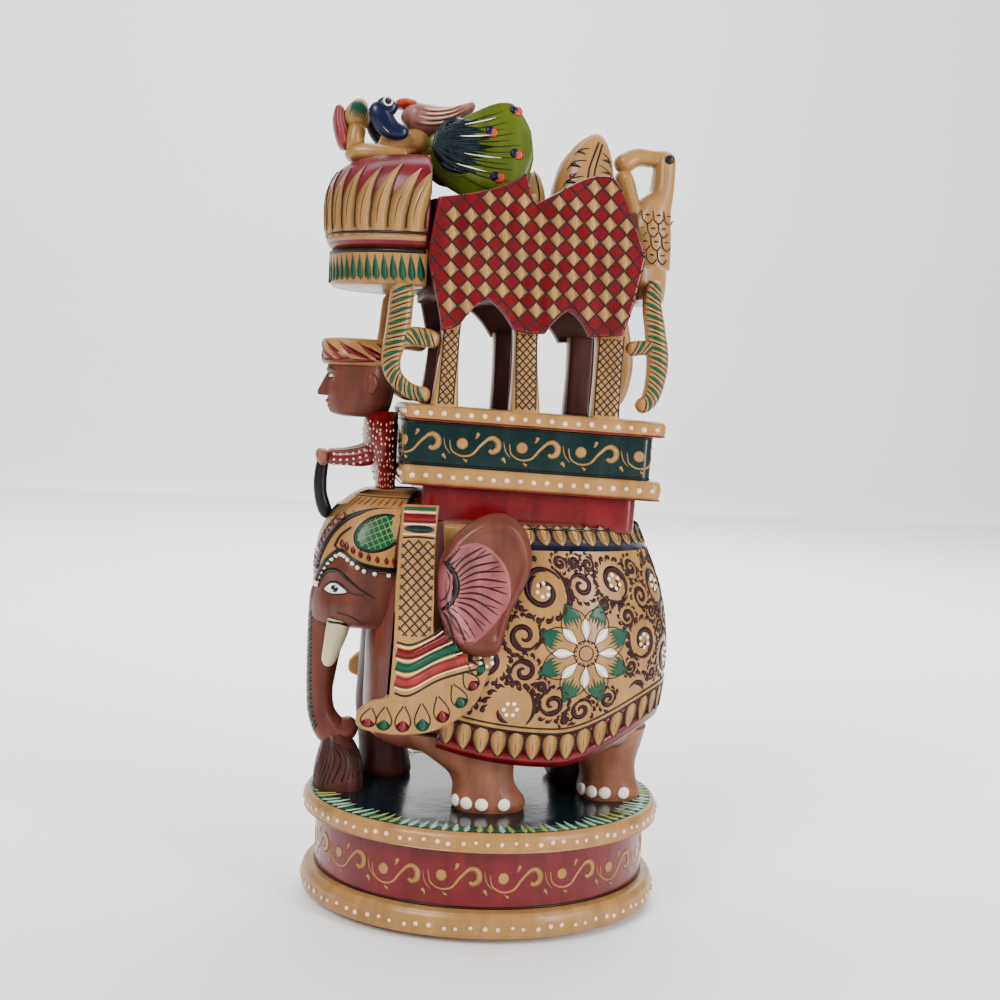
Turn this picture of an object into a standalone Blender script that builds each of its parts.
"""A carved and painted wooden elephant that carries a howdah, a mahout and a pair of peacocks.

The figure walks towards -X and stands on +Z up. The origin lies on the table under the middle of its
plinth. Sizes below are in millimetres, and the builders turn them into metres once, with MM.
Names ending in _left lie on the -Y flank of the elephant and names ending in _right on the +Y flank.
"""

import math

import bmesh
import bpy

MM = 0.001
GAP = 0.35                   # glue line between neighbouring pieces

# Plinth: an oval drum with a moulding above and below its waist.
PLINTH_LENGTH = 111.0
PLINTH_WIDTH = 98.0
BOTTOM_MOULDING = 7.6
WAIST_HEIGHT = 17.0
TOP_MOULDING = 5.6
WAIST_INSET = 4.0
MOULDING_ROUND = 1.6
DECK_Z = BOTTOM_MOULDING + WAIST_HEIGHT + TOP_MOULDING

# Elephant trunk of the body: stations up its height as (z, front x, rear x, half width).
BODY_STATIONS = ((48.0, -38.0, 46.0, 29.6), (54.0, -40.0, 49.0, 31.8), (62.0, -42.0, 50.8, 33.0),
                 (76.0, -42.0, 51.4, 33.6), (88.0, -41.0, 50.4, 32.8), (98.0, -40.0, 48.0, 30.6),
                 (107.0, -39.0, 44.4, 28.0), (113.4, -38.0, 41.0, 26.2))
BODY_FRONT_X = -31.2
CLOTH_THICK = 2.4
CLOTH_EASE = 0.8             # room between a carved cloth and the flank it covers
CLOTH_FRONT_X = -18.0
HEM_LOW_Z = 45.4
HEM_FRONT_RISE = 9.0
HEM_REAR_RISE = 11.0
HEM_LOW_X = 17.0

# Head: stations up its height as (z, front x, half width), cut flat where it meets the neck.
HEAD_STATIONS = ((82.4, -54.6, 13.0), (87.0, -54.6, 16.5), (94.0, -53.2, 18.6), (101.0, -52.8, 19.4),
                 (107.0, -51.8, 18.6), (113.0, -49.6, 16.4), (117.6, -45.4, 13.0), (121.2, -39.6, 8.6))
HEAD_BACK_X = BODY_FRONT_X - GAP
HEAD_ROUND_X = -16.0         # where the head's ovals would end if the neck didn't cut them
CAP_THICK = 1.4
CAP_EASE = 1.0
CAP_EDGE_Z = 95.0
CAP_SCALLOP = 5.0

# Howdah deck: three layers on a pad, all leaning back a little together.
DRAPE_Y = 23.6                # inner face of the drapes, which the columns and the deck follow
COLUMN_Y = DRAPE_Y - 1.0
HOWDAH_WIDTH = 2 * (COLUMN_Y + 3.9)
DECK_FRONT_X = -30.6
HOWDAH_LENGTH = 76.6
HOWDAH_LEAN = math.radians(1.6)
HOWDAH_TOP_Z = 147.5
UPPER_MOULDING = 4.9
FRIEZE_HEIGHT = 12.4
LOWER_MOULDING = 6.2
FRIEZE_INSET = 2.0
PAD_HEIGHT = 7.4
PAD_INSET = 3.6
PAD_SHORT = 10.0

# Columns as (x at the foot, x at the head, foot width, head width).
COLUMNS = {"front": (-19.4, -18.6, 7.4, 4.8), "middle": (3.8, 3.1, 8.8, 6.8), "rear": (27.6, 28.0, 8.6, 8.4)}
COLUMN_TOP_Z = 169.0
COLUMN_DEPTH = 7.0

# Canopy.
DRAPE_THICK = 4.6
ROOF_FRONT_X = -26.2
ROOF_REAR_X = 36.4
ROOF_UNDER_Z = 179.5
ROOF_TOP_Z = 207.4
ROOF_WIDTH = 2 * (DRAPE_Y - GAP)
LOTUS_RIM_Z = 192.6
LOTUS_TOP_Z = 220.6
LOTUS_FRONT_X = -55.8
LOTUS_HALF_WIDTH = DRAPE_Y + 3.4
COLLAR_UNDER_Z = 181.6
COLLAR_FRONT_X = -54.0
COLLAR_HALF_WIDTH = LOTUS_HALF_WIDTH - 2.0
REAR_COLLAR_REAR_X = 48.4
REAR_COLLAR_HALF_WIDTH = COLUMN_Y - 3.6
REAR_COLLAR_UNDER_Z = 182.0
REAR_COLLAR_TOP_Z = 192.6

SIDES = {"left": -1.0, "right": 1.0}

SKIN, OCHRE, RED, GREEN, DARK_GREEN = (0.24, 0.10, 0.06), (0.62, 0.40, 0.17), (0.45, 0.02, 0.04), \
    (0.02, 0.20, 0.09), (0.01, 0.08, 0.08)
IVORY, BLACK, BLUE, PINK, MAUVE = (0.75, 0.70, 0.58), (0.02, 0.02, 0.03), (0.03, 0.06, 0.25), \
    (0.66, 0.28, 0.28), (0.40, 0.22, 0.20)


def collection():
    """The collection that holds every piece of the figure."""
    found = bpy.data.collections.get("wooden_elephant")
    if found is None:
        found = bpy.data.collections.new("wooden_elephant")
        bpy.context.scene.collection.children.link(found)
    return found


def paint(name, colour, roughness=0.35):
    """A varnished paint as a Principled material, one per piece."""
    material = bpy.data.materials.new(name)
    material.use_nodes = True
    shader = material.node_tree.nodes["Principled BSDF"]
    shader.inputs["Base Color"].default_value = (*colour, 1.0)
    shader.inputs["Roughness"].default_value = roughness
    shader.inputs["Metallic"].default_value = 0.0
    return material


def place(name, data, colour):
    """Puts mesh or curve data in the scene as one named, painted piece."""
    piece = bpy.data.objects.new(name, data)
    data.materials.append(paint(name, colour))
    collection().objects.link(piece)
    return piece


def soften(piece, width, segments=2):
    """Rounds the sharp edges of a piece."""
    bevel = piece.modifiers.new("rounded_edges", "BEVEL")
    bevel.width = width * MM
    bevel.segments = segments
    bevel.limit_method = "ANGLE"
    bevel.angle_limit = math.radians(40)
    return piece


def drum(name, length, width, low, high, colour, segments=56):
    """An oval drum between two heights, from a cone primitive."""
    mesh = bpy.data.meshes.new(name)
    work = bmesh.new()
    bmesh.ops.create_cone(work, cap_ends=True, segments=segments, radius1=0.5, radius2=0.5, depth=1.0)
    bmesh.ops.scale(work, vec=(length * MM, width * MM, (high - low) * MM), verts=work.verts)
    bmesh.ops.translate(work, vec=(0, 0, (high + low) / 2 * MM), verts=work.verts)
    work.to_mesh(mesh)
    work.free()
    mesh.shade_smooth()
    return place(name, mesh, colour)


def block(name, size, centre, colour, lean=0.0):
    """A cuboid of that size about a centre, turned about Y by lean."""
    mesh = bpy.data.meshes.new(name)
    work = bmesh.new()
    bmesh.ops.create_cube(work, size=1.0)
    bmesh.ops.scale(work, vec=[side * MM for side in size], verts=work.verts)
    work.to_mesh(mesh)
    work.free()
    piece = place(name, mesh, colour)
    piece.location = [c * MM for c in centre]
    piece.rotation_euler = (0, lean, 0)
    return piece


def plate(name, outline, y_near, y_far, colour, corners=(), resolution=3):
    """A flat carving that stands in the XZ plane between two depths. Its outline is a closed curve through
    (x, z) points, smooth except at the numbered corners."""
    curve = bpy.data.curves.new(name, "CURVE")
    curve.dimensions = "2D"
    curve.fill_mode = "BOTH"
    curve.extrude = abs(y_far - y_near) / 2 * MM
    curve.resolution_u = resolution
    spline = curve.splines.new("BEZIER")
    spline.use_cyclic_u = True
    spline.bezier_points.add(len(outline) - 1)
    for index, (point, (x, z)) in enumerate(zip(spline.bezier_points, outline)):
        point.co = (x * MM, z * MM, 0)
        handle = "VECTOR" if index in corners else "AUTO"
        point.handle_left_type = handle
        point.handle_right_type = handle
    piece = place(name, curve, colour)
    piece.rotation_euler = (math.pi / 2, 0, 0)
    piece.location.y = (y_near + y_far) / 2 * MM
    return piece


def rod(name, points, colour, sides=2):
    """A round carved limb along points (x, y, z, radius), with filled ends."""
    curve = bpy.data.curves.new(name, "CURVE")
    curve.dimensions = "3D"
    curve.bevel_depth = MM
    curve.bevel_resolution = sides
    curve.use_fill_caps = True
    curve.resolution_u = 4
    spline = curve.splines.new("BEZIER")
    spline.bezier_points.add(len(points) - 1)
    for knot, (x, y, z, radius) in zip(spline.bezier_points, points):
        knot.co = (x * MM, y * MM, z * MM)
        knot.radius = radius
        knot.handle_left_type = knot.handle_right_type = "AUTO"
    return place(name, curve, colour)


def oval(z, front, rear, half_width, power=2.4, count=32, centre_y=0.0):
    """A ring of points round a rounded oblong, level at z. The rear point comes first."""
    middle = (front + rear) / 2
    half_length = (rear - front) / 2
    ring = []
    for step in range(count):
        turn = math.tau * step / count
        c, s = math.cos(turn), math.sin(turn)
        ring.append((middle + half_length * math.copysign(abs(c) ** (2 / power), c),
                     centre_y + half_width * math.copysign(abs(s) ** (2 / power), s), z))
    return ring


def loft(name, rings, colour):
    """A closed solid whose sides join unlike rings of points, with a flat face at each end."""
    count = len(rings[0])
    points = [(x * MM, y * MM, z * MM) for ring in rings for x, y, z in ring]
    faces = [tuple(reversed(range(count)))]
    for row in range(len(rings) - 1):
        for step in range(count):
            after = (step + 1) % count
            faces.append((row * count + step, row * count + after,
                          (row + 1) * count + after, (row + 1) * count + step))
    faces.append(tuple(range((len(rings) - 1) * count, len(rings) * count)))
    mesh = bpy.data.meshes.new(name)
    mesh.from_pydata(points, [], faces)
    mesh.shade_smooth()
    return place(name, mesh, colour)


def shell(name, rows, thickness, colour):
    """A carved skin: an open surface through rows of points, thickened outwards with Solidify."""
    count = len(rows[0])
    points = [(x * MM, y * MM, z * MM) for row in rows for x, y, z in row]
    faces = []
    for row in range(len(rows) - 1):
        for step in range(count - 1):
            first = row * count + step
            faces.append((first, first + 1, first + 1 + count, first + count))
    mesh = bpy.data.meshes.new(name)
    mesh.from_pydata(points, [], faces)
    mesh.shade_smooth()
    piece = place(name, mesh, colour)
    solidify = piece.modifiers.new("thickness", "SOLIDIFY")
    solidify.thickness = thickness * MM
    solidify.offset = 1.0
    return piece


def between(stations, z):
    """The values of a table of stations at height z, in straight lines between its rows."""
    if z <= stations[0][0]:
        return stations[0][1:]
    for low, high in zip(stations, stations[1:]):
        if z <= high[0]:
            share = (z - low[0]) / (high[0] - low[0])
            return tuple(a + (b - a) * share for a, b in zip(low[1:], high[1:]))
    return stations[-1][1:]


def swept_point(front, rear, half_width, turn, power=2.4):
    """The (x, y) on a rounded oblong at an angle from its rear point."""
    c, s = math.cos(turn), math.sin(turn)
    x = (front + rear) / 2 + (rear - front) / 2 * math.copysign(abs(c) ** (2 / power), c)
    return x, half_width * math.copysign(abs(s) ** (2 / power), s)


def ease(share):
    """A smooth rise from 0 to 1."""
    share = min(1.0, max(0.0, share))
    return share * share * (3 - 2 * share)


def make_plinth():
    waist_low = BOTTOM_MOULDING
    waist_high = waist_low + WAIST_HEIGHT
    inset = 2 * WAIST_INSET
    soften(drum("plinth_bottom_moulding", PLINTH_LENGTH, PLINTH_WIDTH, 0, waist_low - GAP, OCHRE), MOULDING_ROUND)
    drum("plinth_waist", PLINTH_LENGTH - inset, PLINTH_WIDTH - inset, waist_low, waist_high - GAP, RED)
    soften(drum("plinth_top_moulding", PLINTH_LENGTH, PLINTH_WIDTH, waist_high, DECK_Z, OCHRE), MOULDING_ROUND)


def body_ring(z, grow=0.0, count=32):
    """The body's outline at height z, cut flat at the neck."""
    front, rear, half_width = between(BODY_STATIONS, z)
    ring = oval(z, front - grow, rear + grow, half_width + grow, count=count)
    return [(max(x, BODY_FRONT_X), y, z) for x, y, z in ring]


def deck_top(x):
    """Height of the leaning howdah deck at x."""
    return HOWDAH_TOP_Z - (x - DECK_FRONT_X - HOWDAH_LENGTH / 2) * math.tan(HOWDAH_LEAN)


def pad_under(x):
    """Height of the underside of the saddle pad at x."""
    return deck_top(x) - (UPPER_MOULDING + FRIEZE_HEIGHT + LOWER_MOULDING + PAD_HEIGHT) / math.cos(HOWDAH_LEAN)


def hem_z(x):
    """Height of the saddle cloth's lower edge: lowest under the belly, higher towards chest and rump."""
    if x < HEM_LOW_X:
        reach = HEM_LOW_X - BODY_FRONT_X
        return HEM_LOW_Z + HEM_FRONT_RISE * ((HEM_LOW_X - x) / reach) ** 2
    return HEM_LOW_Z + HEM_REAR_RISE * ease((x - HEM_LOW_X) / 36.0)


def make_body():
    rings = [body_ring(station[0]) for station in BODY_STATIONS]
    rings.append([(x, y, pad_under(x) - GAP) for x, y, _ in rings[-1]])
    loft("body", rings, SKIN)
    make_saddle_cloth()
    make_legs()


def cloth_point(z, across):
    """The (x, y) on the cloth's inner face at height z, from -1 at its left front edge to 1 at its right."""
    front, rear, half_width = between(BODY_STATIONS, z)
    front, rear, half_width = front - CLOTH_EASE, rear + CLOTH_EASE, half_width + CLOTH_EASE
    reach = ((front + rear) / 2 - CLOTH_FRONT_X) / ((rear - front) / 2)
    last = math.pi - math.acos(reach ** (2.4 / 2))
    return swept_point(front, rear, half_width, last * across)


def make_saddle_cloth(columns=32, rows=12):
    """The cloth runs from behind one ear round the rump to the other, a little proud of the body."""
    top_z = BODY_STATIONS[-1][0]
    table = []
    for row in range(rows):
        line = []
        for column in range(columns + 1):
            low = hem_z(cloth_point(80.0, 2 * column / columns - 1)[0])
            z = low + (top_z - low) * row / (rows - 1)
            line.append((*cloth_point(z, 2 * column / columns - 1), z))
        table.append(line)
    shell("saddle_cloth", table, CLOTH_THICK, OCHRE)


def make_legs():
    """Feet stand on the deck and end just under the belly, except the striding front right leg, which
    rises in front of the chest."""
    foot = DECK_Z + GAP
    top = BODY_STATIONS[0][0] - GAP
    feet = {"front_left_leg": (-0.5, -19.4, 10.6, 9.2, -3.0), "hind_left_leg": (38.6, -7.4, 9.0, 8.2, -2.0),
            "hind_right_leg": (32.0, 14.0, 9.0, 8.2, 1.0)}
    for name, (x, y, half_length, half_width, lean) in feet.items():
        rings = []
        for share, swell in ((0.0, 1.0), (0.22, 0.98), (0.5, 0.86), (0.8, 0.95), (1.0, 1.08)):
            z = foot + (top - foot) * share
            at = x + lean * share
            half = half_length * swell
            rings.append(oval(z, at - half, at + half, half_width * swell, 2.2, 20, y))
        loft(name, rings, SKIN)
    rings = []
    for z, front, rear, half_width in ((foot, -38.5, -21.0, 8.6), (35.0, -38.2, -21.5, 8.2),
                                       (43.0, -38.4, -22.4, 7.6), (47.0, -39.2, -24.0, 8.4),
                                       (top, -39.2, -24.0, 8.5), (54.0, -39.0, -25.0, 10.0), (68.0, -37.4, -26.0, 12.0),
                                       (80.0, -35.0, -27.0, 12.4)):
        ring = oval(z, front, rear, half_width, 2.2, 20, 17.0)
        limit = HEAD_BACK_X if z >= top else rear
        rings.append([(min(px, limit), py, pz) for px, py, pz in ring])
    loft("front_right_leg", rings, SKIN)


def head_ring(z, grow=0.0, count=32):
    front, half_width = between(HEAD_STATIONS, z)
    ring = oval(z, front - grow, HEAD_ROUND_X, half_width + grow, 2.2, count)
    return [(min(x, HEAD_BACK_X), y, z) for x, y, z in ring]


def make_head():
    loft("head", [head_ring(station[0]) for station in HEAD_STATIONS], SKIN)
    root = HEAD_STATIONS[0][0] - GAP
    rod("trunk", ((-49.6, 0, root - 0.3, 6.2), (-50.6, 0, 72.0, 5.3), (-51.0, 0, 61.0, 4.6), (-49.6, 0, 54.2, 4.2),
                  (-45.6, 0, 51.2, 3.6), (-41.6, 0, 53.0, 2.8)), SKIN, 3)
    rings = [oval(z, front, rear, half_width, 2.2, 16) for z, front, rear, half_width in
             ((DECK_Z + GAP, -52.0, -36.8, 8.6), (38.0, -51.4, -38.2, 7.6), (46.8, -50.0, -42.6, 5.0))]
    loft("grass_sheaf", rings, SKIN)
    for side, sign in SIDES.items():
        rod(f"tusk_{side}", ((-46.4, sign * 9.4, root - 0.4, 2.9), (-47.4, sign * 11.4, 75.0, 2.6),
                             (-48.6, sign * 12.0, 69.8, 1.5)), IVORY)
    make_cap()


def make_cap(columns=20, rows=10):
    """The forehead cloth lies round the front of the skull, with a scalloped lower edge that ends in a
    point between the eyes."""
    top_z = HEAD_STATIONS[-1][0]
    first, last = math.radians(112), math.radians(248)
    table = []
    for row in range(rows):
        line = []
        for column in range(columns + 1):
            share = column / columns
            turn = first + (last - first) * share
            low = CAP_EDGE_Z + CAP_SCALLOP * abs(math.sin(math.tau * share)) - 4.0 * (1 - abs(2 * share - 1)) ** 4
            z = low + (top_z - low) * row / (rows - 1)
            front, half_width = between(HEAD_STATIONS, z)
            x, y = swept_point(front - CAP_EASE, HEAD_ROUND_X, half_width + CAP_EASE, turn, 2.2)
            line.append((min(x, HEAD_BACK_X), y, z))
        table.append(line)
    shell("forehead_cloth", table, CAP_THICK, OCHRE)


def make_ears_and_hangings():
    """Each ear and each shoulder hanging is a flat carving outside the flank."""
    near = BODY_STATIONS[3][3] + CLOTH_EASE + CLOTH_THICK
    ear = ((-14.0, 114.0), (-4.0, 118.6), (4.6, 113.0), (6.4, 105.0), (3.2, 96.0), (-1.4, 85.0), (-4.4, 79.2),
           (-12.0, 79.6), (-18.4, 89.0), (-20.6, 101.0))
    hanging = ((-31.2, 120.8), (-20.8, 120.8), (-21.6, 100.0), (-21.0, 82.4), (-14.0, 78.4), (-4.4, 74.6),
               (-9.4, 63.4), (-21.4, 56.2), (-36.8, 56.0), (-42.0, 60.6), (-38.6, 64.8), (-32.0, 67.6),
               (-31.4, 82.0), (-31.8, 104.0))
    for side, sign in SIDES.items():
        plate(f"ear_{side}", ear, sign * near, sign * (near + 3.4), SKIN)
        plate(f"shoulder_hanging_{side}", hanging, sign * near, sign * (near + 2.4), OCHRE, corners=(0, 1, 5, 11))


def make_howdah_deck():
    """Pad, lower moulding, frieze and upper moulding, stacked along the deck's own leaning up direction."""
    middle_x = DECK_FRONT_X + HOWDAH_LENGTH / 2
    layers = (("howdah_upper_moulding", UPPER_MOULDING, 0.0, 0.0, OCHRE, 1.4),
              ("howdah_frieze", FRIEZE_HEIGHT, FRIEZE_INSET, FRIEZE_INSET, DARK_GREEN, 0.6),
              ("howdah_lower_moulding", LOWER_MOULDING, 0.0, 0.0, OCHRE, 1.6),
              ("saddle_pad", PAD_HEIGHT, PAD_INSET, PAD_SHORT, RED, 1.2))
    down = 0.0
    for name, height, inset, short, colour, edge in layers:
        length = HOWDAH_LENGTH - short
        shift = -short / 2 + (PAD_SHORT / 2 + 1.0 if name == "saddle_pad" else 0.0)
        depth = down + (height - GAP) / 2
        centre = (middle_x + shift - depth * math.sin(HOWDAH_LEAN), 0.0, HOWDAH_TOP_Z - depth * math.cos(HOWDAH_LEAN))
        size = (length, HOWDAH_WIDTH - 2 * inset, height - GAP)
        soften(block(name, size, centre, colour, HOWDAH_LEAN), edge)
        down += height


def make_columns():
    for place_name, (foot_x, head_x, foot_width, head_width) in COLUMNS.items():
        low = deck_top(foot_x - foot_width / 2) + GAP
        for side, sign in SIDES.items():
            rings = []
            for share in (0.0, 0.5, 1.0):
                x = foot_x + (head_x - foot_x) * share
                half = (foot_width + (head_width - foot_width) * share) / 2
                z = low + (COLUMN_TOP_Z - low) * share
                rings.append(oval(z, x - half, x + half, COLUMN_DEPTH / 2, 3.2, 16, sign * COLUMN_Y))
            loft(f"{place_name}_column_{side}", rings, OCHRE)


def make_brackets():
    """An S-shaped vine stands at each corner of the howdah and reaches an arm to its column."""
    front = ((-31.4, 149.2), (-23.6, 149.2), (-23.6, 153.6), (-28.6, 154.2), (-33.0, 157.6), (-33.2, 162.4),
             (-29.6, 164.9), (-23.4, 164.4), (-21.6, 166.8), (-22.2, 170.2), (-30.0, 170.4), (-30.2, 176.0),
             (-29.4, COLLAR_UNDER_Z - GAP), (-36.4, COLLAR_UNDER_Z - GAP), (-37.2, 172.0), (-38.4, 160.0),
             (-36.0, 153.6))
    rear = ((43.2, 148.4), (34.2, 148.4), (34.2, 152.0), (38.4, 154.6), (39.2, 160.0), (38.6, 165.0),
            (33.0, 165.4), (32.8, 169.4), (38.8, 170.2), (38.4, 176.0), (38.0, REAR_COLLAR_UNDER_Z - GAP),
            (42.2, REAR_COLLAR_UNDER_Z - GAP), (43.6, 176.0), (46.0, 165.0), (45.4, 156.0))
    for side, sign in SIDES.items():
        near, far = sign * (COLUMN_Y - 3.0), sign * (COLUMN_Y + 3.0)
        plate(f"front_bracket_{side}", front, near, far, OCHRE, corners=(0, 1, 2, 8, 9, 10, 12, 13), resolution=2)
        plate(f"rear_bracket_{side}", rear, near, far, OCHRE, corners=(0, 1, 2, 6, 7, 8, 10, 11), resolution=2)


def make_canopy():
    drape = ((-24.6, 207.2), (-15.0, 208.8), (-6.0, 211.6), (0.4, 215.4), (3.2, 206.8), (9.0, 210.4),
             (19.0, 215.4), (26.2, 215.6), (31.0, 205.4), (36.4, 193.8), (34.6, 184.0), (30.8, 171.0),
             (21.4, 169.8), (14.6, 177.2), (8.0, 169.6), (-1.0, 170.6), (-8.6, 179.2), (-16.6, 171.0),
             (-21.6, 169.4), (-23.4, 179.0), (-26.2, 189.0), (-26.0, 196.0))
    for side, sign in SIDES.items():
        plate(f"drape_{side}", drape, sign * DRAPE_Y, sign * (DRAPE_Y + DRAPE_THICK), RED,
              corners=(0, 3, 4, 8, 9, 11, 12, 14, 15, 17, 18))
    length = ROOF_REAR_X - ROOF_FRONT_X
    height = ROOF_TOP_Z - ROOF_UNDER_Z
    soften(block("canopy_roof", (length, ROOF_WIDTH, height),
                 (ROOF_FRONT_X + length / 2, 0, ROOF_UNDER_Z + height / 2), OCHRE), 3.0)
    make_lotus()
    make_rear_balcony()


def half_drum(z, front, back, half_width, count=28):
    """A ring whose front is half an oval and whose back is cut flat."""
    ring = oval(z, front, 2 * back - front, half_width, 2.1, count)
    return [(min(x, back), y, z) for x, y, z in ring]


def make_lotus():
    """The front balcony: a collar under a bulging lotus."""
    back = ROOF_FRONT_X - GAP
    loft("front_collar", [half_drum(COLLAR_UNDER_Z, COLLAR_FRONT_X, back, COLLAR_HALF_WIDTH),
                          half_drum(LOTUS_RIM_Z - GAP, COLLAR_FRONT_X, back, COLLAR_HALF_WIDTH)], OCHRE)
    height = LOTUS_TOP_Z - LOTUS_RIM_Z
    rings = []
    for share, swell in ((0.0, 0.97), (0.12, 1.0), (0.45, 0.99), (0.7, 0.93), (0.88, 0.78), (1.0, 0.5)):
        front = back + (LOTUS_FRONT_X - back) * swell
        rings.append(half_drum(LOTUS_RIM_Z + height * share, front, back, LOTUS_HALF_WIDTH * swell))
    loft("front_lotus", rings, OCHRE)


def make_rear_balcony():
    front = ROOF_REAR_X + GAP
    rings = []
    for z in (REAR_COLLAR_UNDER_Z, REAR_COLLAR_TOP_Z - GAP):
        ring = half_drum(z, -REAR_COLLAR_REAR_X, -front, REAR_COLLAR_HALF_WIDTH)
        rings.append([(-x, -y, height) for x, y, height in ring])
    loft("rear_collar", rings, OCHRE)
    bird = ((37.4, REAR_COLLAR_TOP_Z), (48.0, REAR_COLLAR_TOP_Z), (49.6, 199.0), (49.4, 220.0), (50.2, 227.4),
            (48.2, 229.4), (44.0, 228.4), (35.2, 228.6), (34.4, 222.4), (38.4, 219.8), (38.8, 212.0), (37.8, 204.0))
    plate("rear_bird", bird, -9.0, 9.0, OCHRE, corners=(0, 1, 7, 8))
    leaf = ((11.6, ROOF_TOP_Z + GAP), (33.4, ROOF_TOP_Z + GAP), (34.2, 213.0), (33.6, 222.4), (30.2, 228.6),
            (25.0, 231.6), (20.2, 231.0), (13.6, 225.4), (10.4, 220.0))
    plate("roof_leaf", leaf, -10.0, 10.0, OCHRE, corners=(0, 1))
    ridge = ((-8.0, ROOF_TOP_Z + GAP), (10.4, ROOF_TOP_Z + GAP), (9.2, 216.0), (6.0, 220.6), (2.8, 216.6), (-3.0, 211.6))
    plate("roof_ridge", ridge, -12.0, 12.0, OCHRE, corners=(0, 1))


def make_peacocks():
    """A flower bed on the lotus carries two peacocks, back to back, whose tails fan over the roof."""
    bed_z = LOTUS_TOP_Z + GAP
    bed = ((-46.0, bed_z), (-32.6, bed_z), (-27.0, 222.0), (-28.0, 226.6), (-34.0, 225.2), (-41.0, 228.4),
           (-44.4, 232.8), (-48.0, 230.0))
    plate("flower_bed", bed, -7.0, 7.0, OCHRE, corners=(0, 1))
    bud = ((-54.8, 233.6), (-53.6, 227.0), (-49.6, 222.0), (-48.6, 230.4), (-45.2, 234.4), (-44.6, 236.8),
           (-48.4, 238.0), (-51.0, 235.0))
    plate("flower_bud", bud, -6.0, 6.0, PINK)
    body = ((-43.8, 233.0), (-42.4, 236.4), (-38.4, 237.8), (-34.8, 236.6), (-31.6, 233.0), (-31.0, 229.4),
            (-33.0, 226.2), (-36.6, 226.4), (-41.2, 229.4))
    tail = ((-27.2, 225.4), (-20.6, 230.2), (-8.0, 236.6), (-1.4, 238.8), (2.8, 234.6), (3.6, 225.0), (-0.4, 217.6),
            (-9.0, 212.0), (-13.0, ROOF_TOP_Z + GAP), (-18.0, ROOF_TOP_Z + GAP), (-21.4, 213.4), (-23.6, 218.2))
    for side, sign in SIDES.items():
        plate(f"peacock_{side}", body, sign * 7.4, sign * 12.0, BLUE, resolution=2)
        plate(f"peacock_tail_{side}", tail, sign * 12.4, sign * 16.2, GREEN, corners=(8, 9), resolution=2)
    wing = ((-33.0, 230.0), (-33.2, 236.0), (-28.0, 237.4), (-21.0, 236.0), (-12.6, 239.4), (-12.4, 235.6), (-20.0, 231.6))
    plate("peacock_backs", wing, -7.0, 7.0, MAUVE, corners=(0, 1, 4))


def make_mahout():
    """The driver sits on the elephant's neck against the howdah's front."""
    seat = HEAD_STATIONS[-1][0] + GAP
    back = DECK_FRONT_X - GAP - 0.6
    rings = []
    for z, front, half_width in ((seat, -36.0, 7.4), (128.0, -37.0, 12.0), (134.0, -39.4, 17.0),
                                 (139.0, -39.6, 17.6), (142.4, -38.0, 10.0)):
        rings.append([(min(x, back), y, h) for x, y, h in oval(z, front, -24.0, half_width, 2.2, 24)])
    loft("mahout_body", rings, RED)
    rings = []
    for z, front, rear, half_width in ((142.8, -46.0, -36.0, 5.0), (144.4, -51.6, -35.0, 7.4), (149.0, -53.4, -33.4, 8.8),
                                       (155.0, -53.6, -32.6, 9.6), (158.4, -53.0, -32.6, 9.6)):
        rings.append(oval(z, front, rear, half_width, 2.0, 24))
    loft("mahout_head", rings, SKIN)
    rings = []
    for z, front, rear, half_width in ((158.8, -54.2, -32.0, 10.4), (163.0, -54.8, -32.4, 10.8), (167.0, -54.6, -35.0, 9.6)):
        rings.append(oval(z, front, rear, half_width, 2.0, 24))
    loft("turban", rings, RED)
    for side, sign in SIDES.items():
        rod(f"mahout_arm_{side}", ((-39.2, sign * 10.0, 131.4, 3.1), (-46.4, sign * 9.6, 130.6, 2.9),
                                   (-53.2, sign * 3.9, 131.2, 2.2)), RED)
    rod("goad", ((-53.0, 0, 132.6, 1.9), (-53.6, 0, 124.0, 2.1), (-52.4, 0, 115.6, 1.9)), BLACK)


def main():
    for leftover in list(bpy.data.objects):
        bpy.data.objects.remove(leftover)
    make_plinth()
    make_body()
    make_head()
    make_ears_and_hangings()
    make_howdah_deck()
    make_columns()
    make_brackets()
    make_canopy()
    make_peacocks()
    make_mahout()


main()
